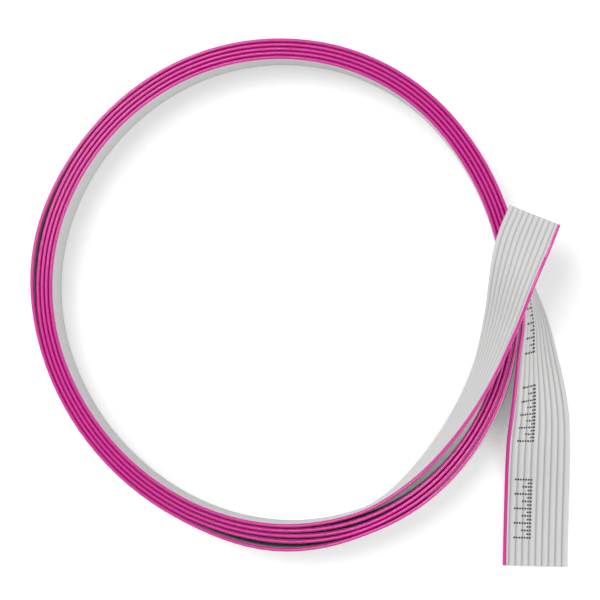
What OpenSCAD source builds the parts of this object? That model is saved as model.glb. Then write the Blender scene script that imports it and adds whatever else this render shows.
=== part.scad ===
/* [Cable] */
// Distance from one conductor to the next
pitch = 1.27; // [1.2:0.01:1.4]
// Width of the rib of jacket round one conductor
rib_w = 1.0; // [0.8:0.02:1.1]
// Thickness of the cable over its ribs
thick = 0.74; // [0.6:0.02:0.9]
// Thickness of the web in the groove between two ribs
web = 0.34; // [0.2:0.02:0.4]
// Width of a conductor, a bundle of seven strands, across its corners
wire_d = 0.38; // [0.26:0.02:0.4]
// How far the coloured edge mark reaches past the middle of the first rib
mark_reach = 0.2; // [0.2:0.01:0.4]
// Length of conductor that is modelled in from each cut end
wire_reach = 4; // [1:0.5:5]

/* [Coil] */
// Mean radius of the innermost turn
coil_r = 43.7; // [40:0.1:60]
// Turns wound on edge, without the two free ends
turns = 4.75; // [1.75:1:4.75]
// Clearance between one turn and the next where they lie closest
turn_gap = 0.06; // [0.04:0.01:0.5]

/* [Free ends] */
// Clearance between the coil and the end that crosses over it
cross_gap = 0.1; // [0.05:0.05:1]
// Straight stretch behind each cut
straight = 6; // [5.5:0.5:8]

/* [Hidden] */
conductors = 10;

grey = [0.80, 0.81, 0.82];
magenta = [0.85, 0.10, 0.52];
copper = [0.80, 0.62, 0.48];

cable_w = (conductors - 1) * pitch + rib_w;
edge_u = cable_w / 2;
crest = thick / 2;
edge_v = thick / 4;
layer = thick + turn_gap;
climb = cable_w + cross_gap;

// The coil is a spiral of tangent arcs, clockwise from above, with as many arcs to a turn as there are
// values in each list. Each arc has its own bias to the mean radius, which gives the loose oval of a coil
// wound by hand, and its own slack, by which it grows more or less than one layer with every turn.
sector_bias = [-6.2, 0.2, 4.8, -2.5, 2.0, -1.6, -3.8, 7.9, 1.1];
sector_slack = [-0.17, -0.08, 0.27, -0.03, -0.01, 0.04, 0.01, -0.02, 0.27];
per_turn = len(sector_bias);
sector = 360 / per_turn;
first_centre = [-0.88, -4.46];
start_angle = -70;
first_joint = -80;
end_angle = start_angle - 360 * turns;
ring_step = 15;

// Places where a turn stands off a little from its arc: the angle, the distance outwards and how many
// degrees to either side it takes to die away. Where the last turn but one is bare on its outside, its
// foot spreads outwards: the angle, the lean in degrees and how far it dies away.
stand_off = [[-1631, 0.45, 30], [-1533, 0.95, 26], [-1165, 0.3, 26], [-795, 0.25, 24], [-70, -0.3, 24]];
spread = [[-1470, 2.5, 45]];

// The free ends leave the coil at these points, each written as its distance to the right and to the
// back of the place where the coil ends, how far the cable leans over, in degrees from standing on
// edge, and how far its lower edge has climbed from the floor to the top of the coil, from 0 to 1.
inner_end = [
    [5.4, 3.3, 3, 0.01], [10.7, 8.1, 8, 0.04], [15.4, 13.7, 12, 0.13], [19.8, 20.4, 16.5, 0.28],
    [23.3, 27.6, 22, 0.46], [25.9, 35.4, 31, 0.68], [28.0, 43.1, 43, 0.95], [30.3, 50.5, 55, 1.02]
];
outer_end = [
    [2.1, -7.0, -3, 0], [4.2, -14.7, -11, 0], [5.6, -21.6, -24, 0], [6.0, -27.6, -37, 0],
    [6.4, -33.6, -51, 0], [6.6, -39.6, -66, 0], [6.4, -45.6, -80, 0], [6.2, -52.2, -89, 0],
    [5.9, -62.7, -90, 0]
];

// Coil: the arcs, their centres and a point of the coil at any angle
arc_count = ceil((first_joint - end_angle) / sector) + 1;
function dir(a) = [cos(a), sin(a)];
function arc_end(i) = max(first_joint - sector * i, end_angle);
function arc_radius(i) =
    coil_r + sector_bias[i % per_turn] + floor(i / per_turn) * (layer + sector_slack[i % per_turn]);
function centres(i, c) = i == arc_count ? [] : concat([c],
    centres(i + 1, c + (arc_radius(i) - arc_radius(i + 1)) * dir(arc_end(i))));
arc_centres = centres(0, first_centre);
function arc_at(a) = a > first_joint ? 0 : min(arc_count - 1, floor((first_joint - a) / sector) + 1);
function total(list, i = 0) = i >= len(list) ? 0 : list[i] + total(list, i + 1);
function swell(list, a) = total(
    [for (s = list) if (abs(a - s[0]) < s[2]) s[1] * (1 + cos(180 * (a - s[0]) / s[2])) / 2]);
function on_coil(a) = arc_centres[arc_at(a)] + (arc_radius(arc_at(a)) + swell(stand_off, a)) * dir(a);
function flat(p, z) = [p[0], p[1], z];

// A ring is where the section lies: its centre, the direction along the width towards the marked
// edge, and the direction through the thickness towards the outside of the coil.
function unit(v) = v / norm(v);
function centre_height(lean) = max(
    edge_u * cos(lean) + edge_v * abs(sin(lean)), rib_u(1) * cos(lean) + crest * abs(sin(lean)));
function coil_ring(a) = let (lean = swell(spread, a)) [
    flat(on_coil(a) + edge_u * sin(lean) * dir(a), centre_height(lean)),
    flat(-sin(lean) * dir(a), cos(lean)), flat(cos(lean) * dir(a), sin(lean))
];
coil_rings = [for (a = [start_angle : -ring_step : end_angle]) coil_ring(a)];
function station(origin, s) = flat(origin + [s[0], s[1]], centre_height(s[2]) + s[3] * climb);
function leaned(centre, along, lean) =
    let (side = unit([-along[1], along[0], 0]), up = cross(unit(along), side))
    [centre, up * cos(lean) + side * sin(lean), side * cos(lean) - up * sin(lean)];
function end_rings(points, leans, sense) = [
    for (i = [1 : len(points) - 1])
        leaned(points[i], sense * (points[min(i + 1, len(points) - 1)] - points[i - 1]), leans[i])
];
function reversed(list) = [for (i = [len(list) - 1 : -1 : 0]) list[i]];

// The last stretch behind each cut is straight, so its two rings share one direction and lean.
function with_cut(points, last_way) = concat(points, [points[len(points) - 1] + straight * unit(last_way)]);
inner_way = [0.37, 0.93, 0.03];
outer_way = [-0.02, -1, 0];
inner_origin = on_coil(start_angle);
outer_origin = on_coil(end_angle);
inner_points = with_cut(
    concat([flat(inner_origin, edge_u)], [for (s = inner_end) station(inner_origin, s)]), inner_way);
outer_points = with_cut(
    concat([flat(outer_origin, edge_u)], [for (s = outer_end) station(outer_origin, s)]), outer_way);
function leans(stations) = concat([0], [for (s = stations) s[2]], [stations[len(stations) - 1][2]]);
function straightened(list) = let (n = len(list)) [
    for (i = [0 : n - 1]) i < n - 2 ? list[i] : [list[i][0], list[n - 1][1], list[n - 1][2]]
];
inner_rings = straightened(end_rings(inner_points, leans(inner_end), -1));
outer_rings = straightened(end_rings(outer_points, leans(outer_end), 1));
rings = concat(reversed(inner_rings), coil_rings, outer_rings);

// Section of the cable: u along the width, v through the thickness. Conductor 1 lies at the marked edge.
function rib_u(j) = edge_u - rib_w / 2 - (j - 1) * pitch;
mark_u = rib_u(1) - mark_reach;
mark_v = crest - (crest - web / 2) * (rib_u(1) - mark_u) / (pitch / 2);
function face_points(side) = concat(
    [[mark_u, side * mark_v], [rib_u(1) - pitch / 2, side * web / 2]],
    [for (j = [2 : conductors]) for (p = [[rib_u(j), side * crest], [rib_u(j) - pitch / 2, side * web / 2]])
        if (j < conductors || p[0] == rib_u(j)) p]
);
jacket_outline = concat(face_points(1), [[-edge_u, edge_v], [-edge_u, -edge_v]], reversed(face_points(-1)));
mark_outline = [
    [mark_u, -mark_v], [rib_u(1), -crest], [edge_u, -edge_v], [edge_u, edge_v], [rib_u(1), crest], [mark_u, mark_v]
];

function place(ring, p) = ring[0] + ring[1] * p[0] + ring[2] * p[1];

// A conductor's bore seen in the section, and the outline points round it in the same order
function bore(j) = [for (k = [0 : 5]) [rib_u(j), 0] + wire_d / 2 * dir(30 + 60 * k)];
jacket_cells = [for (j = [2 : conductors]) [j, [2 * j - 3, 2 * j - 2, 2 * j - 1,
    4 * conductors - 2 * j, 4 * conductors + 1 - 2 * j, 4 * conductors + 2 - 2 * j]]];
mark_cells = [[1, [3, 4, 5, 0, 1, 2]]];

// The lid over one end: six facets round each bore's mouth, the bore's walls and its floor
function lid_points(ring, inward, cells) = [
    for (c = cells) for (depth = [0, wire_reach]) for (p = bore(c[0])) place(ring, p) + depth * inward
];
function lid_faces(first, base, cells) = [
    for (i = [0 : len(cells) - 1]) let (rim = first + 12 * i, edge = cells[i][1]) for (f = concat(
        [for (k = [0 : 5]) let (m = (k + 1) % 6) [base + edge[k], base + edge[m], rim + m, rim + k]],
        [for (k = [0 : 5]) let (m = (k + 1) % 6) [rim + k, rim + m, rim + 6 + m, rim + 6 + k]],
        [[for (k = [0 : 5]) rim + 6 + k]])) f
];
function turned(faces) = [for (f = faces) reversed(f)];

inner_inward = unit(rings[1][0] - rings[0][0]);
outer_inward = unit(rings[len(rings) - 2][0] - rings[len(rings) - 1][0]);

// Joins an outline from ring to ring and closes each end with a bored lid. Where the outline starts
// with a strip that has no bore, seam is the facet that closes it.
module sweep(outline, cells, seam) {
    n = len(outline);
    last = (len(rings) - 1) * n;
    body = [for (r = rings) for (p = outline) place(r, p)];
    inner_lid = lid_points(rings[0], inner_inward, cells);
    outer_lid = lid_points(rings[len(rings) - 1], outer_inward, cells);
    walls = [for (i = [0 : len(rings) - 2]) for (k = [0 : n - 1])
        [i * n + k, i * n + (k + 1) % n, (i + 1) * n + (k + 1) % n, (i + 1) * n + k]];
    polyhedron(
        concat(body, inner_lid, outer_lid),
        concat(
            walls,
            turned(concat(seam, lid_faces(len(body), 0, cells))),
            [for (f = seam) [for (v = f) last + v]],
            lid_faces(len(body) + len(inner_lid), last, cells)),
        convexity = 20);
}

module insulation() {
    color(grey) sweep(jacket_outline, jacket_cells, [[0, 1, 4 * conductors - 2, 4 * conductors - 1]]);
}

module edge_mark() {
    color(magenta) sweep(mark_outline, mark_cells, []);
}

// A bundle of strands that fills its bore behind one cut
module wire_end(j, ring, inward) {
    across = cross(inward, ring[1]);
    centre = place(ring, [rib_u(j), 0]);
    multmatrix([for (k = [0 : 2]) [ring[1][k], across[k], inward[k], centre[k]]])
        linear_extrude(wire_reach) rotate(30) circle(d = wire_d, $fn = 6);
}

module conductor(j) {
    color(copper) {
        wire_end(j, rings[0], inner_inward);
        wire_end(j, rings[len(rings) - 1], outer_inward);
    }
}

insulation();
edge_mark();
conductor(1);  // conductor_1
conductor(2);  // conductor_2
conductor(3);  // conductor_3
conductor(4);  // conductor_4
conductor(5);  // conductor_5
conductor(6);  // conductor_6
conductor(7);  // conductor_7
conductor(8);  // conductor_8
conductor(9);  // conductor_9
conductor(10);  // conductor_10
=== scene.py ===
"""Dresses a loose coil of flat ribbon cable: grey ribbed jacket, magenta edge, strands and print.

The cable is one long sweep. Its route repeats the arcs and the points of the solid model, in
metres, and every piece is laid along that route, so that stripe, strands and ink stay where the
jacket carries them.
"""

import logging
import math
from dataclasses import dataclass, field
from enum import Enum
from typing import Union

import bmesh
import bpy
from mathutils import Matrix, Vector

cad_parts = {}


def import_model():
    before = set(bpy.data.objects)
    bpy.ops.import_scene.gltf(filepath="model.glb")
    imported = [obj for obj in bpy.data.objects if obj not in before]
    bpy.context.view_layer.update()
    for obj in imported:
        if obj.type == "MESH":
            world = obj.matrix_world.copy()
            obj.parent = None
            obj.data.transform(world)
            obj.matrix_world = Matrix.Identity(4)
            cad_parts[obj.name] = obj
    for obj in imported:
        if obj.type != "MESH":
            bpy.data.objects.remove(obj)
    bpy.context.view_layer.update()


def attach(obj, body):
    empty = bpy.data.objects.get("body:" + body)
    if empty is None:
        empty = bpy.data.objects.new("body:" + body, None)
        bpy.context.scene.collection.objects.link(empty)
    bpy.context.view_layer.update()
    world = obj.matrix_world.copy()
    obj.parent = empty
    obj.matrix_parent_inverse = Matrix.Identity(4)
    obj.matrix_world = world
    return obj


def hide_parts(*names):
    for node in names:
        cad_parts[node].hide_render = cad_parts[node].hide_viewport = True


MM = 0.001
BODY = "root"

# What a node's input takes: another socket, a number or a colour.
Fed = Union[bpy.types.NodeSocket, float, tuple[float, ...]]

log = logging.getLogger("ribbon_cable")


class Tick(Enum):
    """The lengths of printed tick, in dots."""

    SHORT = 2
    MIDDLE = 4
    LONG = 7


@dataclass(frozen=True)
class Section:
    """The section, in metres: u along the width towards the stripe, v through the thickness."""

    conductors: int = 10
    pitch: float = 1.27 * MM
    rib_width: float = 1.0 * MM
    rib_reach: float = 0.605 * MM
    thickness: float = 0.74 * MM
    web: float = 0.18 * MM
    stripe_reach: float = 0.2 * MM
    stripe_short: float = 0.08 * MM
    skin: float = 0.09 * MM
    bore_radius: float = 0.2 * MM
    margin: float = 0.02 * MM
    rib_steps: int = 5
    end_steps: int = 5

    @property
    def edge(self) -> float:
        """Distance from the middle of the cable to its edge."""
        return ((self.conductors - 1) * self.pitch + self.rib_width) / 2

    @property
    def edge_half(self) -> float:
        """Half the thickness of the solid model's flat edge, on which the cable stands."""
        return self.thickness / 4

    def rib(self, number: int) -> float:
        """The middle of a rib, counted from the striped edge."""
        return self.edge - self.rib_width / 2 - (number - 1) * self.pitch

    @property
    def back_radius(self) -> float:
        """Radius of the arc over a rib's back."""
        depth = (self.thickness - self.web) / 2
        return (self.rib_reach**2 + depth**2) / (2 * depth)

    def height(self, u: float) -> float:
        """Half the thickness of the cable at a place along its width.

        Backs are arcs that come down to the web; the outer flank at each edge is rounder.
        """
        number = min(self.conductors, max(1, round((self.rib(1) - u) / self.pitch) + 1))
        offset = abs(u - self.rib(number))
        if abs(u) > self.rib(1):
            share = min(1.0, offset / (self.rib_width / 2))
            return self.thickness / 2 * math.sqrt(1 - share**2)
        if offset > self.rib_reach:
            return self.web / 2
        return self.thickness / 2 - self.back_radius + math.sqrt(self.back_radius**2 - offset**2)

    def sunk(self, u: float) -> float:
        """How far down a place lies between two ribs: 0 on a rib's back, 1 on the web."""
        if abs(u) > self.rib(1):
            return 0.0
        return (self.thickness / 2 - self.height(u)) / (self.thickness / 2 - self.web / 2)

    def rib_back(self, number: int) -> list[float]:
        """Places across one rib, from its flank near the stripe to its other flank."""
        slope = math.asin(self.rib_reach / self.back_radius)
        turns = [slope * (1 - 2 * k / self.rib_steps) for k in range(self.rib_steps + 1)]
        return [self.rib(number) + self.back_radius * math.sin(turn) for turn in turns]

    def outer_flank(self) -> list[float]:
        """Places on the rounded flank at the stripe, from the edge to the first rib's middle."""
        steps = range(self.end_steps + 1)
        reach = self.rib_width / 2
        return [self.rib(1) + reach * math.cos(math.pi / 2 * k / self.end_steps) for k in steps]

    def stripe_path(self, inset: float) -> list[tuple[float, float]]:
        """The stripe's outer or inner line, from its limit on the inward face round the edge.

        Args:
            inset: distance under the surface.

        Returns:
            Points up to the stripe's limit on the outward face, where it reaches further.
        """
        limit = self.rib(1) + self.stripe_short
        under = [u for u in self.outer_flank() if u > limit + self.margin]
        over = self.outer_flank()[1:] + [self.rib(1) - self.stripe_reach]
        line = [(u, -self.height(u)) for u in [limit] + under[::-1]]
        line += [(u, self.height(u)) for u in over]
        return [self._under(u, v, inset) for u, v in line]

    def _under(self, u: float, v: float, inset: float) -> tuple[float, float]:
        """A point straight under a surface point of the first rib."""
        reach, rise = self.rib_width / 2, self.thickness / 2
        slope = Vector(((u - self.rib(1)) / reach**2, v / rise**2))
        inner = Vector((u, v)) - slope.normalized() * inset
        return inner.x, inner.y

    def stripe_outline(self) -> list[tuple[float, float]]:
        """The coloured part of the section, a thin skin round the striped edge."""
        return self.stripe_path(0) + self.stripe_path(self.skin)[::-1]

    def jacket_outline(self) -> list[tuple[float, float]]:
        """The grey part of the section, with the seat of the stripe's skin."""
        middle = self.rib(1)
        far_edge = [-u for u in self.outer_flank()]
        backs = [u for number in range(2, self.conductors + 1) for u in self.rib_back(number)]
        places = [u for u in backs if u > -middle - self.margin] + far_edge[-2:0:-1]
        first = [u for u in self.rib_back(1) if u < middle + self.margin]
        over = [u for u in first if u < middle - self.stripe_reach - self.margin] + places
        upper = [(u, self.height(u)) for u in over]
        lower = [(u, -self.height(u)) for u in first + places]
        seat = self.stripe_path(self.skin)
        limits = self.stripe_path(0)
        return [limits[-1]] + upper + [(-self.edge, 0.0)] + lower[::-1] + [limits[0]] + seat


@dataclass(frozen=True)
class Stop:
    """One place along the cable: where its middle is and how its section is turned."""

    centre: Vector
    width_way: Vector
    outward: Vector
    travelled: float

    def place(self, u: float, v: float) -> Vector:
        """A point of the section, in the row's frame."""
        return self.centre + self.width_way * u + self.outward * v

    def towards(self, other: "Stop", share: float) -> "Stop":
        """A stop between this one and another.

        Args:
            other: the next stop.
            share: 0 here and 1 there.

        Returns:
            The stop in between, with its directions made square again.
        """
        width_way = self.width_way.lerp(other.width_way, share).normalized()
        outward = self.outward.lerp(other.outward, share)
        outward = (outward - width_way * outward.dot(width_way)).normalized()
        travelled = self.travelled + (other.travelled - self.travelled) * share
        return Stop(self.centre.lerp(other.centre, share), width_way, outward, travelled)


@dataclass(frozen=True)
class Swell:
    """A place on the coil where something grows and dies away again."""

    angle: float
    amount: float
    reach: float

    def at(self, angle: float) -> float:
        """How much of it there is at an angle, in degrees along the coil."""
        share = min(1.0, abs(angle - self.angle) / self.reach)
        return self.amount * (1 + math.cos(math.pi * share)) / 2


@dataclass
class Route:
    """The way the cable lies, from the cut of its inner end to the cut of its outer end."""

    section: Section
    coil_radius: float = 43.7 * MM
    turn_gap: float = 0.06 * MM
    turns: float = 4.75
    sector_bias: tuple[float, ...] = (-6.2, 0.2, 4.8, -2.5, 2.0, -1.6, -3.8, 7.9, 1.1)
    sector_slack: tuple[float, ...] = (-0.17, -0.08, 0.27, -0.03, -0.01, 0.04, 0.01, -0.02, 0.27)
    first_centre: tuple[float, float] = (-0.88, -4.46)
    start_angle: float = -70
    first_joint: float = -80
    run_in: float = 10
    stand_off: tuple[Swell, ...] = (
        Swell(-1631, 0.45, 30),
        Swell(-1533, 0.95, 26),
        Swell(-1165, 0.3, 26),
        Swell(-795, 0.25, 24),
        Swell(-70, -0.3, 24),
    )
    spread: tuple[Swell, ...] = (Swell(-1470, 2.5, 45),)
    angle_step: float = 3
    cross_gap: float = 0.1 * MM
    straight: float = 6 * MM
    end_step: float = 1.6 * MM
    inner_end: tuple[tuple[float, float, float, float], ...] = (
        (5.4, 3.3, 3, 0.01),
        (10.7, 8.1, 8, 0.04),
        (15.4, 13.7, 12, 0.13),
        (19.8, 20.4, 16.5, 0.28),
        (23.3, 27.6, 22, 0.46),
        (25.9, 35.4, 31, 0.68),
        (28.0, 43.1, 43, 0.95),
        (30.3, 50.5, 55, 1.02),
    )
    outer_end: tuple[tuple[float, float, float, float], ...] = (
        (2.1, -7.0, -3, 0),
        (4.2, -14.7, -11, 0),
        (5.6, -21.6, -24, 0),
        (6.0, -27.6, -37, 0),
        (6.4, -33.6, -51, 0),
        (6.6, -39.6, -66, 0),
        (6.4, -45.6, -80, 0),
        (6.2, -52.2, -89, 0),
        (5.9, -62.7, -90, 0),
    )
    inner_way: tuple[float, float, float] = (0.37, 0.93, 0.03)
    outer_way: tuple[float, float, float] = (-0.02, -1, 0)
    stops: list[Stop] = field(default_factory=list)

    def __post_init__(self) -> None:
        """Works the stops out once."""
        self.end_angle = self.start_angle - 360 * self.turns
        self.sector = 360 / len(self.sector_bias)
        self.centres = self._arc_centres()
        self.stops = self._lay()

    def _arc_radius(self, arc: int) -> float:
        """Radius of one arc: its turn's own, with bias and slack of its place in the turn."""
        layer = self.section.thickness + self.turn_gap
        turn, place = divmod(arc, len(self.sector_bias))
        grown = turn * (layer + self.sector_slack[place] * MM)
        return self.coil_radius + self.sector_bias[place] * MM + grown

    def _arc_centres(self) -> list[Vector]:
        """The centres of the tangent arcs."""
        centre = Vector((*self.first_centre, 0)) * MM
        centres = [centre]
        arc = 0
        angle = self.first_joint
        while angle > self.end_angle:
            centre = centre + direction(angle) * (self._arc_radius(arc) - self._arc_radius(arc + 1))
            centres.append(centre)
            arc += 1
            angle -= self.sector
        return centres

    def on_coil(self, angle: float) -> Vector:
        """The point of the coil's middle line at an angle, on the floor."""
        arc = 0 if angle > self.first_joint else int((self.first_joint - angle) // self.sector) + 1
        arc = min(arc, len(self.centres) - 1)
        stood_off = sum(swell.at(angle) for swell in self.stand_off) * MM
        return self.centres[arc] + direction(angle) * (self._arc_radius(arc) + stood_off)

    def _on_floor(self, angle: float) -> tuple[Vector, float]:
        """The middle of the standing cable at an angle of the coil, and its lean.

        Where its foot spreads outwards, its top edge stays where the coil has it.
        """
        spread = sum(swell.at(angle) for swell in self.spread)
        middle = self.on_coil(angle)
        middle += direction(angle) * (self.section.edge * math.sin(math.radians(spread)))
        middle.z = self.centre_height(spread)
        return middle, -spread

    def centre_height(self, lean: float) -> float:
        """Height of the cable's middle when it touches the floor at a lean, in degrees."""
        section = self.section
        slope = math.radians(lean)
        on_edge = section.edge * math.cos(slope) + section.edge_half * abs(math.sin(slope))
        on_rib = section.rib(1) * math.cos(slope) + section.thickness / 2 * abs(math.sin(slope))
        return max(on_edge, on_rib)

    def _stations(
        self,
        origin: Vector,
        table: tuple[tuple[float, float, float, float], ...],
        way: tuple[float, float, float],
    ) -> tuple[list[Vector], list[float]]:
        """The middle points and leans of one free end.

        Args:
            origin: the coil's point where the end leaves it.
            table: distance right, distance back, lean and lift of each station, in mm and degrees.
            way: the direction of the straight stretch behind the cut.

        Returns:
            The points and the leans, the cut included.
        """
        climb = 2 * self.section.edge + self.cross_gap
        points = []
        for right, back, lean, lift in table:
            height = self.centre_height(lean) + lift * climb
            points.append(Vector((origin.x + right * MM, origin.y + back * MM, height)))
        points.append(points[-1] + Vector(way).normalized() * self.straight)
        return points, [row[2] for row in table] + [table[-1][2]]

    def _free_end(
        self, lead: list[Vector], points: list[Vector], leans: list[float]
    ) -> list[tuple[Vector, float]]:
        """Smooths one free end.

        Args:
            lead: two points of the coil before the end, the last of them where it leaves.
            points: the stations.
            leans: the lean at each station.

        Returns:
            Close points with their leans, up to the cut. The coil's last point is left out.
        """
        knots = lead + points
        tilts = [0.0, 0.0] + leans
        knots.append(knots[-1] * 2 - knots[-2])
        tilts.append(tilts[-1])
        smooth = []
        for k in range(1, len(knots) - 2):
            reach = (knots[k + 1] - knots[k]).length
            steps = max(2, round(reach / self.end_step))
            for step in range(1, steps + 1):
                share = step / steps
                weights = spline_weights(share)
                spot = sum((knots[k - 1 + i] * weights[i] for i in range(4)), Vector())
                tilt = sum(tilts[k - 1 + i] * weights[i] for i in range(4))
                smooth.append((spot, tilt))
        return smooth

    def _lay(self) -> list[Stop]:
        """Lays the whole cable as stops with directions and travelled lengths."""
        steps = round((self.start_angle - self.end_angle) / self.angle_step)
        angles = [self.start_angle - k * (360 * self.turns) / steps for k in range(steps + 1)]
        coil = [self._on_floor(a) for a in angles]
        inner_leaves, outer_leaves = coil[0][0], coil[-1][0]
        inner_lead = [self._on_floor(self.start_angle - self.run_in)[0], inner_leaves]
        outer_lead = [self._on_floor(self.end_angle + self.run_in)[0], outer_leaves]
        inner = self._stations(inner_leaves, self.inner_end, self.inner_way)
        outer = self._stations(outer_leaves, self.outer_end, self.outer_way)
        line = self._free_end(inner_lead, *inner)[::-1] + coil + self._free_end(outer_lead, *outer)
        stops = []
        travelled = 0.0
        for k, (centre, lean) in enumerate(line):
            before = line[max(0, k - 1)][0]
            after = line[min(len(line) - 1, k + 1)][0]
            travelled += (centre - before).length
            stops.append(leaned(centre, after - before, lean, travelled))
        return stops

    @property
    def length(self) -> float:
        """The cable's whole length."""
        return self.stops[-1].travelled

    def at(self, travelled: float) -> Stop:
        """The stop at any distance from the inner cut."""
        for before, after in zip(self.stops, self.stops[1:]):
            if travelled <= after.travelled:
                share = (travelled - before.travelled) / (after.travelled - before.travelled)
                return before.towards(after, share)
        return self.stops[-1]


def direction(angle: float) -> Vector:
    """The level direction at an angle in degrees."""
    return Vector((math.cos(math.radians(angle)), math.sin(math.radians(angle)), 0))


def spline_weights(share: float) -> tuple[float, float, float, float]:
    """Weights of four neighbouring knots on a curve that runs through the middle two."""
    a = share
    return (
        0.5 * (-a + 2 * a**2 - a**3),
        0.5 * (2 - 5 * a**2 + 3 * a**3),
        0.5 * (a + 4 * a**2 - 3 * a**3),
        0.5 * (-(a**2) + a**3),
    )


def leaned(centre: Vector, along: Vector, lean: float, travelled: float) -> Stop:
    """Turns the section square to the cable and leans it over.

    Args:
        centre: the cable's middle.
        along: the way the cable runs there.
        lean: degrees from standing on edge, outwards positive.
        travelled: distance from the inner cut.

    Returns:
        The finished stop.
    """
    side = Vector((-along.y, along.x, 0)).normalized()
    up = along.normalized().cross(side)
    slope = math.radians(lean)
    width_way = up * math.cos(slope) + side * math.sin(slope)
    outward = side * math.cos(slope) - up * math.sin(slope)
    return Stop(centre, width_way, outward, travelled)


def finished_piece(
    name: str,
    mesh_tool: bmesh.types.BMesh,
    material: bpy.types.Material,
    sharp: float,
) -> bpy.types.Object:
    """Turns a bmesh into a piece at the origin that rides on the coil.

    Args:
        name: the piece's name.
        mesh_tool: its bmesh, which is freed.
        material: its finish.
        sharp: edges over this angle, in degrees, stay sharp.

    Returns:
        The piece.
    """
    bmesh.ops.recalc_face_normals(mesh_tool, faces=mesh_tool.faces)
    for face in mesh_tool.faces:
        face.smooth = True
    mesh = bpy.data.meshes.new(name)
    mesh_tool.to_mesh(mesh)
    mesh_tool.free()
    mesh.set_sharp_from_angle(angle=math.radians(sharp))
    mesh.materials.append(material)
    piece = bpy.data.objects.new(name, mesh)
    bpy.context.collection.objects.link(piece)
    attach(piece, BODY)
    log.info("%s: %d faces", name, len(mesh.polygons))
    return piece


@dataclass
class SweptStrip:
    """A strip of the cable, drawn from one cut to the other like the extrusion it is."""

    route: Route
    outline: list[tuple[float, float]]
    bores: list[int]
    bore_depth: float = 4 * MM
    bore_segments: int = 16

    def build(self) -> bmesh.types.BMesh:
        """Draws the outline along the route and closes both cuts.

        Returns:
            The closed strip, with the distance travelled and the place across kept on every vertex.
        """
        strip = bmesh.new()
        spot = strip.verts.layers.int.new("spot")
        along = strip.verts.layers.float.new("along")
        across = strip.verts.layers.float.new("across")
        sunk = strip.verts.layers.float.new("sunk")
        first = self.route.stops[0]
        verts = [strip.verts.new(first.place(u, v)) for u, v in self.outline]
        for number, vert in enumerate(verts):
            vert[spot] = number
            vert[across] = self.outline[number][0]
            # sunk is the mask of the painted shade in the grooves.
            vert[sunk] = self.route.section.sunk(vert[across])
        rim = [strip.edges.new((vert, verts[k - 1])) for k, vert in enumerate(verts)]
        first_rim = list(rim)
        for stop in self.route.stops[1:]:
            grown = bmesh.ops.extrude_edge_only(strip, edges=rim)["geom"]
            rim = [part for part in grown if isinstance(part, bmesh.types.BMEdge)]
            for vert in (part for part in grown if isinstance(part, bmesh.types.BMVert)):
                vert.co = stop.place(*self.outline[vert[spot]])
                vert[along] = stop.travelled
        self._close(strip, first_rim, self.route.stops[0], self.route.stops[1])
        self._close(strip, rim, self.route.stops[-1], self.route.stops[-2])
        return strip

    def _close(
        self,
        strip: bmesh.types.BMesh,
        rim: list[bmesh.types.BMEdge],
        cut: Stop,
        inside: Stop,
    ) -> None:
        """Closes one cut with a flat face that has a blind bore round each conductor.

        Args:
            strip: the open strip.
            rim: its edges at the cut.
            cut: the stop at the cut.
            inside: the next stop, which tells which way is inwards.
        """
        section = self.route.section
        inwards = (inside.centre - cut.centre).normalized() * self.bore_depth
        axes = (cut.width_way, cut.outward, cut.width_way.cross(cut.outward))
        turn = Matrix(axes).transposed().to_4x4()
        mouths = []
        for number in self.bores:
            made = bmesh.ops.create_circle(
                strip,
                cap_ends=False,
                segments=self.bore_segments,
                radius=section.bore_radius,
                matrix=Matrix.Translation(cut.place(section.rib(number), 0)) @ turn,
            )["verts"]
            mouths.append(list({edge for vert in made for edge in vert.link_edges}))
        holes = [edge for mouth in mouths for edge in mouth]
        bmesh.ops.triangle_fill(strip, use_beauty=True, use_dissolve=False, edges=rim + holes)
        for mouth in mouths:
            grown = bmesh.ops.extrude_edge_only(strip, edges=mouth)["geom"]
            deep = [part for part in grown if isinstance(part, bmesh.types.BMVert)]
            bmesh.ops.translate(strip, verts=deep, vec=inwards)
            floor = [part for part in grown if isinstance(part, bmesh.types.BMEdge)]
            bmesh.ops.edgeloop_fill(strip, edges=floor)


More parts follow.
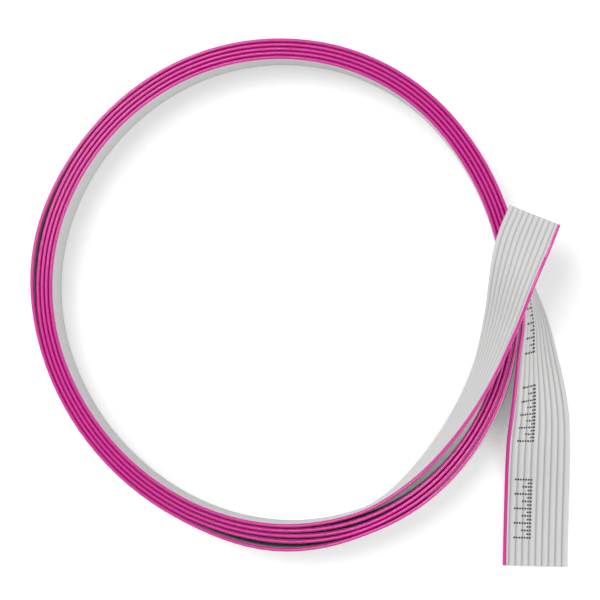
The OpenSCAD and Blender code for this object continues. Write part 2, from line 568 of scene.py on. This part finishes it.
@dataclass
class Conductor:
    """One conductor: seven tinned strands, twisted, seen in the two cuts."""

    route: Route
    number: int
    strand_radius: float = 0.0635 * MM
    depth: float = 4 * MM
    proud: float = 0.02 * MM
    strands_round: int = 6
    twist: float = 80
    segments: int = 10

    def build(self) -> bmesh.types.BMesh:
        """Makes the strands at both cuts."""
        bundle = bmesh.new()
        stops = self.route.stops
        self._fill(bundle, stops[0], stops[1])
        self._fill(bundle, stops[-1], stops[-2])
        return bundle

    def _fill(self, bundle: bmesh.types.BMesh, cut: Stop, inside: Stop) -> None:
        """Sets one core strand and a ring of strands round it behind a cut."""
        inwards = (inside.centre - cut.centre).normalized()
        mouth = cut.place(self.route.section.rib(self.number), 0) - inwards * self.proud
        axes = (cut.width_way, inwards.cross(cut.width_way), inwards)
        seat = Matrix.Translation(mouth) @ Matrix(axes).transposed().to_4x4()
        self._strand(bundle, seat, 0.0, 0.0)
        for k in range(self.strands_round):
            start = (k + 0.5 * (self.number % 2)) * 360 / self.strands_round
            self._strand(bundle, seat, 2 * self.strand_radius, start)

    def _strand(
        self, bundle: bmesh.types.BMesh, seat: Matrix, offset: float, start: float
    ) -> None:
        """Makes one strand.

        Args:
            bundle: the bmesh that takes it.
            seat: the mouth of the bore, with z inwards.
            offset: distance from the bundle's middle.
            start: angle round the bundle at the mouth, in degrees.
        """
        made = bmesh.ops.create_cone(
            bundle,
            cap_ends=True,
            segments=self.segments,
            radius1=self.strand_radius,
            radius2=self.strand_radius,
            depth=self.depth,
            matrix=Matrix.Translation((offset, 0, self.depth / 2)),
        )["verts"]
        for vert in made:
            share = vert.co.z / self.depth
            vert.co.rotate(Matrix.Rotation(math.radians(start + self.twist * share), 3, "Z"))
        bmesh.ops.transform(bundle, matrix=seat, verts=made)


@dataclass
class TickPrint:
    """Dotted ticks in ink on the outward face of the free outer end."""

    route: Route
    dot_radius: float = 0.21 * MM
    dot_pitch: float = 0.5 * MM
    column_pitch: float = 0.7 * MM
    lift: float = 0.012 * MM
    foot_line: float = 1.1 * MM
    dot_segments: int = 8
    group_starts: tuple[float, ...] = (5.4, 24.3, 42.0)
    ticks: tuple[Tick, ...] = (Tick.LONG, Tick.SHORT, Tick.MIDDLE, Tick.SHORT)
    rounds: int = 4

    def build(self) -> bmesh.types.BMesh:
        """Prints every dot as a small disc that follows the ribs."""
        ink = bmesh.new()
        for start in self.group_starts:
            for number, tick in enumerate(self.ticks * self.rounds + self.ticks[:1]):
                back = start * MM + number * self.column_pitch
                for row in range(tick.value):
                    across = self.foot_line + row * self.dot_pitch
                    self._dot(ink, self.route.length - back, across)
        return ink

    def _dot(self, ink: bmesh.types.BMesh, travelled: float, across: float) -> None:
        """Lays one dot on the surface.

        Args:
            ink: the bmesh that takes it.
            travelled: distance of its middle from the inner cut.
            across: place of its middle along the width.
        """
        dot = bmesh.ops.create_circle(
            ink, cap_ends=True, cap_tris=True, segments=self.dot_segments, radius=self.dot_radius
        )["verts"]
        for vert in dot:
            stop = self.route.at(travelled + vert.co.x)
            u = across + vert.co.y
            vert.co = stop.place(u, self.route.section.height(u) + self.lift)


@dataclass(frozen=True)
class SoftPlastic:
    """Extruded soft PVC with faint drawing lines along its length, and painted shade in the grooves
    between its ribs.
    """

    name: str
    colour: tuple[float, float, float]
    shade: tuple[float, float, float]
    # web: the colour of the painted shade in the grooves, mixed in where the surface sinks between
    # ribs.
    web: tuple[float, float, float]
    roughness: float
    roughness_span: float
    specular: float
    line_depth: float

    def material(self, grain_and_groove_shade: bpy.types.ShaderNodeTree) -> bpy.types.Material:
        """Makes the finish.

        Args:
            grain_and_groove_shade: the shared group that gives the drawing lines and the painted
                shade in the grooves.

        Returns:
            The material.
        """
        material, tree, shader = blank_material(self.name)
        lines = tree.nodes.new("ShaderNodeGroup")
        lines.node_tree = grain_and_groove_shade
        for name, value in (
            ("Colour", (*self.colour, 1)),
            ("Shade", (*self.shade, 1)),
            # The third colour is painted shade for the grooves.
            ("Groove Shade", (*self.web, 1)),
            ("Roughness", self.roughness),
            ("Roughness Span", self.roughness_span),
            ("Depth", self.line_depth),
        ):
            lines.inputs[name].default_value = value
        feed(tree, shader.inputs["Base Color"], lines.outputs["Colour"])
        feed(tree, shader.inputs["Roughness"], lines.outputs["Roughness"])
        feed(tree, shader.inputs["Normal"], lines.outputs["Normal"])
        shader.inputs["Specular IOR Level"].default_value = self.specular
        return material


@dataclass(frozen=True)
class TinnedCopper:
    """Freshly cut tinned strands, copper red where the cutter bared them."""

    name: str = "tinned_copper"
    tin: tuple[float, float, float] = (0.72, 0.68, 0.62)
    copper: tuple[float, float, float] = (0.72, 0.40, 0.25)
    roughness: float = 0.35
    speck_scale: float = 3500
    speck_detail: float = 3
    tin_until: float = 0.35
    copper_from: float = 0.7

    def material(self) -> bpy.types.Material:
        """Makes the finish."""
        material, tree, shader = blank_material(self.name)
        specks = noise(tree, object_place(tree), self.speck_scale, self.speck_detail)
        ramp = tree.nodes.new("ShaderNodeValToRGB")
        limits = ((self.tin_until, self.tin), (self.copper_from, self.copper))
        for element, (position, colour) in zip(ramp.color_ramp.elements, limits):
            element.position = position
            element.color = (*colour, 1)
        feed(tree, ramp.inputs["Fac"], specks)
        feed(tree, shader.inputs["Base Color"], ramp.outputs["Color"])
        shader.inputs["Metallic"].default_value = 1
        shader.inputs["Roughness"].default_value = self.roughness
        return material


@dataclass(frozen=True)
class PrintInk:
    """Thin black ink, slightly worn through in specks."""

    name: str = "print_ink"
    black: tuple[float, float, float] = (0.012, 0.012, 0.014)
    worn: tuple[float, float, float] = (0.05, 0.05, 0.052)
    roughness: float = 0.55
    speck_scale: float = 5200
    speck_detail: float = 2

    def material(self) -> bpy.types.Material:
        """Makes the finish."""
        material, tree, shader = blank_material(self.name)
        specks = noise(tree, object_place(tree), self.speck_scale, self.speck_detail)
        colour = mixed_colour(tree, specks, (*self.black, 1), (*self.worn, 1))
        feed(tree, shader.inputs["Base Color"], colour)
        shader.inputs["Roughness"].default_value = self.roughness
        return material


def blank_material(
    name: str,
) -> tuple[bpy.types.Material, bpy.types.NodeTree, bpy.types.ShaderNode]:
    """A material with only a Principled shader.

    Args:
        name: the material's name.

    Returns:
        The material, its node tree and its shader.
    """
    material = bpy.data.materials.new(name)
    material.use_nodes = True
    tree = material.node_tree
    return material, tree, tree.nodes["Principled BSDF"]


def feed(tree: bpy.types.NodeTree, socket: bpy.types.NodeSocket, given: Fed) -> None:
    """Links a socket to another one, or sets it to a value."""
    if isinstance(given, bpy.types.NodeSocket):
        tree.links.new(given, socket)
    else:
        socket.default_value = given


def calculate(tree: bpy.types.NodeTree, operation: str, *given: Fed) -> bpy.types.NodeSocket:
    """Adds one calculation to a node tree.

    Args:
        tree: the node tree.
        operation: what the Math node does.
        given: sockets or numbers, in the node's order.

    Returns:
        The socket with the result.
    """
    node = tree.nodes.new("ShaderNodeMath")
    node.operation = operation
    for socket, value in zip(node.inputs, given):
        feed(tree, socket, value)
    return node.outputs[0]


def mixed_colour(
    tree: bpy.types.NodeTree, share: bpy.types.NodeSocket, first: Fed, second: Fed
) -> bpy.types.NodeSocket:
    """Adds a mix of two colours to a node tree.

    Args:
        tree: the node tree.
        share: how much of the second colour there is.
        first: the colour at a share of 0.
        second: the colour at a share of 1.

    Returns:
        The socket with the mixed colour.
    """
    mix = tree.nodes.new("ShaderNodeMix")
    mix.data_type = "RGBA"
    feed(tree, mix.inputs["Factor"], share)
    feed(tree, mix.inputs["A"], first)
    feed(tree, mix.inputs["B"], second)
    return mix.outputs["Result"]


def noise(
    tree: bpy.types.NodeTree, place: bpy.types.NodeSocket, scale: float, detail: float
) -> bpy.types.NodeSocket:
    """Adds a noise to a node tree.

    Args:
        tree: the node tree.
        place: the socket with the place on the surface.
        scale: the noise's scale.
        detail: the noise's detail.

    Returns:
        The socket with the noise, from 0 to 1.
    """
    node = tree.nodes.new("ShaderNodeTexNoise")
    node.inputs["Scale"].default_value = scale
    node.inputs["Detail"].default_value = detail
    feed(tree, node.inputs["Vector"], place)
    return node.outputs["Fac"]


def object_place(tree: bpy.types.NodeTree) -> bpy.types.NodeSocket:
    """The place on the piece, in its own coordinates."""
    return tree.nodes.new("ShaderNodeTexCoord").outputs["Object"]


def carried(tree: bpy.types.NodeTree, name: str) -> bpy.types.NodeSocket:
    """A value that the mesh carries on its vertices, by its name."""
    node = tree.nodes.new("ShaderNodeAttribute")
    node.attribute_name = name
    return node.outputs["Fac"]


def background_rays(tree: bpy.types.NodeTree) -> bpy.types.NodeSocket:
    """Marks the rays that see the background: those of the camera, of gloss and of glass.

    Args:
        tree: the node tree that takes the nodes.

    Returns:
        A socket with 1 for such a ray and 0 for any other.
    """
    rays = tree.nodes.new("ShaderNodeLightPath").outputs
    either = calculate(tree, "MAXIMUM", rays["Is Camera Ray"], rays["Is Glossy Ray"])
    return calculate(tree, "MAXIMUM", either, rays["Is Transmission Ray"])


@dataclass(frozen=True)
class DrawingLinesAndGrooveShade:
    """Lines that the die leaves along soft plastic, slow changes of tone, and painted shade in the
    grooves between ribs.
    """

    stretch: float = 0.02
    fine_scale: float = 4200
    fine_detail: float = 2
    cloud_scale: float = 260
    cloud_detail: float = 4
    cloud_share: float = 0.5
    groove_shade_power: float = 2
    bump_strength: float = 0.3
    bump_distance: float = 0.02 * MM
    takes: tuple[tuple[str, str], ...] = (
        ("Colour", "NodeSocketColor"),
        ("Shade", "NodeSocketColor"),
        ("Groove Shade", "NodeSocketColor"),
        ("Roughness", "NodeSocketFloat"),
        ("Roughness Span", "NodeSocketFloat"),
        ("Depth", "NodeSocketFloat"),
    )
    gives: tuple[tuple[str, str], ...] = (
        ("Colour", "NodeSocketColor"),
        ("Roughness", "NodeSocketFloat"),
        ("Normal", "NodeSocketVector"),
    )

    def group(self) -> bpy.types.ShaderNodeTree:
        """Builds the node group that both plastics share.

        Returns:
            The group. It reads the place along and across the cable that the strips carry.
        """
        group = bpy.data.node_groups.new("drawing_lines_and_groove_shade", "ShaderNodeTree")
        for sockets, way in ((self.takes, "INPUT"), (self.gives, "OUTPUT")):
            for name, kind in sockets:
                group.interface.new_socket(name, in_out=way, socket_type=kind)
        given = group.nodes.new("NodeGroupInput").outputs
        out = group.nodes.new("NodeGroupOutput").inputs

        spot = group.nodes.new("ShaderNodeCombineXYZ")
        slow = calculate(group, "MULTIPLY", carried(group, "along"), self.stretch)
        feed(group, spot.inputs["X"], slow)
        feed(group, spot.inputs["Y"], carried(group, "across"))
        fine = noise(group, spot.outputs[0], self.fine_scale, self.fine_detail)
        cloud = noise(group, object_place(group), self.cloud_scale, self.cloud_detail)
        shared = calculate(group, "MULTIPLY", cloud, self.cloud_share)
        blend = calculate(group, "MULTIPLY_ADD", fine, 1 - self.cloud_share, shared)

        tone = mixed_colour(group, blend, given["Colour"], given["Shade"])
        # Painted shade: the colour darkens towards the groove shade the deeper a place sinks
        # between ribs.
        groove_shade_mask = calculate(group, "POWER", carried(group, "sunk"), self.groove_shade_power)
        feed(group, out["Colour"], mixed_colour(group, groove_shade_mask, tone, given["Groove Shade"]))
        gloss = calculate(group, "MULTIPLY_ADD", blend, given["Roughness Span"], given["Roughness"])
        feed(group, out["Roughness"], gloss)

        bump = group.nodes.new("ShaderNodeBump")
        bump.inputs["Strength"].default_value = self.bump_strength
        bump.inputs["Distance"].default_value = self.bump_distance
        feed(group, bump.inputs["Height"], calculate(group, "MULTIPLY", fine, given["Depth"]))
        feed(group, out["Normal"], bump.outputs["Normal"])
        return group


@dataclass
class RibbonCable:
    """The whole cable: jacket, stripe, strands and ink along one route."""

    section: Section = field(default_factory=Section)
    jacket: SoftPlastic = SoftPlastic(
        name="grey_pvc",
        colour=(0.635, 0.64, 0.635),
        shade=(0.61, 0.615, 0.61),
        # web: painted shade, the darker grey that the grooves between ribs take on.
        web=(0.36, 0.365, 0.355),
        roughness=0.36,
        roughness_span=0.12,
        specular=0.45,
        line_depth=0.08,
    )
    stripe: SoftPlastic = SoftPlastic(
        name="magenta_pvc",
        colour=(0.62, 0.003, 0.285),
        shade=(0.58, 0.002, 0.26),
        # web: painted shade, the darker magenta that the grooves take on.
        web=(0.40, 0.002, 0.17),
        roughness=0.17,
        roughness_span=0.04,
        specular=0.7,
        line_depth=0.02,
    )
    sharp: float = 42

    def build(self) -> None:
        """Makes every piece and puts it in the place of its solid."""
        route = Route(self.section)
        grain_and_groove_shade = DrawingLinesAndGrooveShade().group()
        numbers = range(1, self.section.conductors + 1)
        grey = SweptStrip(route, self.section.jacket_outline(), list(numbers)).build()
        finish = self.jacket.material(grain_and_groove_shade)
        jacket = finished_piece("jacket", grey, finish, self.sharp)
        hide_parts("insulation")
        coloured = SweptStrip(route, self.section.stripe_outline(), []).build()
        finish = self.stripe.material(grain_and_groove_shade)
        stripe = finished_piece("edge_stripe", coloured, finish, self.sharp)
        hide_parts("edge_mark")
        metal = TinnedCopper().material()
        for number in numbers:
            bundle = Conductor(route, number).build()
            strand = finished_piece(f"strands_{number}", bundle, metal, self.sharp)
            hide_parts(f"conductor_{number}")
        ink = TickPrint(route).build()
        dots = finished_piece("tick_print", ink, PrintInk().material(), self.sharp)
        log.info("cable of %.3f m", route.length)


@dataclass(frozen=True)
class Softbox:
    """One square soft lamp that points at the coil."""

    name: str
    place: tuple[float, float, float]
    size: float
    power: float

    def hang(self) -> None:
        """Hangs the lamp in its place."""
        data = bpy.data.lights.new(self.name, "AREA")
        data.shape = "SQUARE"
        data.size = self.size
        data.energy = self.power
        lamp = bpy.data.objects.new(self.name, data)
        bpy.context.collection.objects.link(lamp)
        lamp.location = self.place
        lamp.rotation_euler = (-Vector(self.place)).to_track_quat("-Z", "Y").to_euler()


@dataclass
class Studio:
    """A white table under soft light, and the camera high over it."""

    lens: float = 164.4
    sensor: float = 36.0
    eye: tuple[float, float, float] = (34.11 * MM, -5.82 * MM, 531 * MM)
    aim: tuple[float, float, float] = (-0.79 * MM, 0.98 * MM, 0.0)
    nearest: float = 0.01
    floor_size: float = 4.0
    floor_drop: float = 0.03 * MM
    floor_colour: float = 0.9
    floor_seen: float = 1.0
    floor_roughness: float = 0.9
    floor_specular: float = 0.1
    floor_glow: float = 0.18
    page_starts: float = 0.14
    page_full: float = 0.45
    sky: float = 0.42
    softboxes: tuple[Softbox, ...] = (
        Softbox("key", (-0.36, 0.36, 1.3), 0.6, 9.0),
        Softbox("left", (-1.1, 0.5, 0.45), 1.2, 4.8),
        Softbox("right", (0.7, -0.42, 0.24), 0.9, 4.5),
    )

    def build(self) -> None:
        """Sets camera, table, lamps and sky."""
        self._camera()
        self._floor()
        self._sky()
        for softbox in self.softboxes:
            softbox.hang()

    def _camera(self) -> None:
        """Puts the camera over the table, tilted a little to the coil's middle."""
        data = bpy.data.cameras.new("camera")
        data.lens = self.lens
        data.sensor_width = self.sensor
        data.clip_start = self.nearest
        camera = bpy.data.objects.new("camera", data)
        bpy.context.collection.objects.link(camera)
        camera.location = self.eye
        backwards = (Vector(self.eye) - Vector(self.aim)).normalized()
        right = Vector((0, 1, 0)).cross(backwards).normalized()
        up = backwards.cross(right)
        camera.rotation_euler = Matrix((right, up, backwards)).transposed().to_euler()
        bpy.context.scene.camera = camera

    def _floor(self) -> None:
        """Lays the white table top, which glows a little as a background, and fully far out."""
        top = bmesh.new()
        bmesh.ops.create_grid(top, x_segments=1, y_segments=1, size=self.floor_size / 2)
        bmesh.ops.translate(top, verts=top.verts, vec=(0, 0, -self.floor_drop))
        mesh = bpy.data.meshes.new("table_top")
        top.to_mesh(mesh)
        top.free()
        floor = bpy.data.objects.new("table_top", mesh)
        bpy.context.collection.objects.link(floor)
        mesh.materials.append(self._table_white())

    def _table_white(self) -> bpy.types.Material:
        """Makes the table top's finish."""
        material, tree, shader = blank_material("table_white")
        shader.inputs["Roughness"].default_value = self.floor_roughness
        shader.inputs["Specular IOR Level"].default_value = self.floor_specular
        shader.inputs["Emission Color"].default_value = (1, 1, 1, 1)
        background = background_rays(tree)
        lit, seen = ((level, level, level, 1) for level in (self.floor_colour, self.floor_seen))
        feed(tree, shader.inputs["Base Color"], mixed_colour(tree, background, lit, seen))
        distance = tree.nodes.new("ShaderNodeVectorMath")
        distance.operation = "LENGTH"
        feed(tree, distance.inputs[0], object_place(tree))
        glow = tree.nodes.new("ShaderNodeMapRange")
        glow.inputs["From Min"].default_value = self.page_starts
        glow.inputs["From Max"].default_value = self.page_full
        glow.inputs["To Min"].default_value = self.floor_glow
        glow.inputs["To Max"].default_value = 1.0
        feed(tree, glow.inputs["Value"], distance.outputs["Value"])
        shown = calculate(tree, "MULTIPLY", background, glow.outputs["Result"])
        feed(tree, shader.inputs["Emission Strength"], shown)
        return material

    def _sky(self) -> None:
        """Sets an even pale sky, white where it is the background."""
        world = bpy.data.worlds.new("sky")
        bpy.context.scene.world = world
        world.use_nodes = True
        tree = world.node_tree
        sky = tree.nodes["Background"]
        strength = calculate(tree, "MAXIMUM", background_rays(tree), self.sky)
        feed(tree, sky.inputs["Strength"], strength)
        sky.inputs["Color"].default_value = (1, 1, 1, 1)


def main() -> None:
    """Loads the solid model, sets the studio and dresses the cable."""
    logging.basicConfig(level=logging.INFO, format="%(message)s")
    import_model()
    bpy.context.scene.view_settings.view_transform = "Standard"
    Studio().build()
    RibbonCable().build()


if __name__ == "__main__":
    main()
